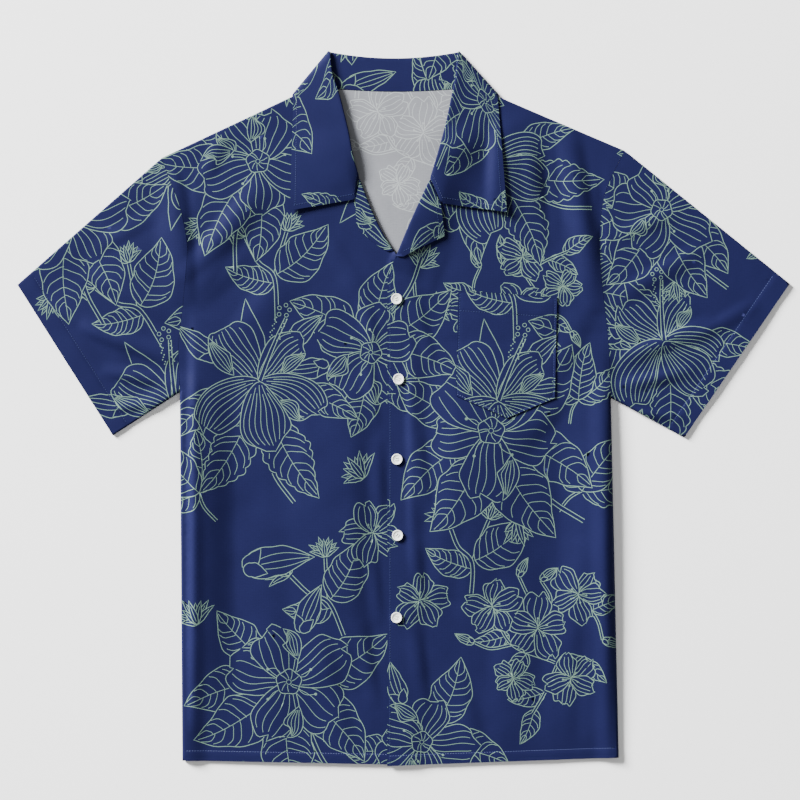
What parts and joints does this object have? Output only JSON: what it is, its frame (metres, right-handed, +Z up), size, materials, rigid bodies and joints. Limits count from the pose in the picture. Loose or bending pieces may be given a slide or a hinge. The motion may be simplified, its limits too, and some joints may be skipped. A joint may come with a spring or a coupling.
{
  "type": "hawaiian shirt",
  "caption": "Short-sleeved camp-collar shirt with a flower print, a chest pocket and a buttoned front, laid flat on its back.",
  "frame": {"origin": "middle of the shirt's outline, on the surface that it lies on", "axes": "+X across the shirt towards the wearer's left sleeve, +Y up the body to the collar, +Z up off the surface, out of the front"},
  "size_m": [0.8488, 0.7855, 0.0072],
  "materials": {
    "cloth": "light plain-woven viscose, royal blue with a pale yellow-green line print, the wrong side pale grey, soft and matt",
    "button": "white pearl-like resin with a raised rim and a dished face with four holes, glossy"
  },
  "bodies": {
    "root": {"back": "cloth", "front_right": "cloth", "front_left": "cloth", "sleeve_right": "cloth", "sleeve_left": "cloth", "collar": "cloth", "pocket": "cloth", "button_1": "button", "button_2": "button", "button_3": "button", "button_4": "button", "button_5": "button"}
  },
  "joints": []
}
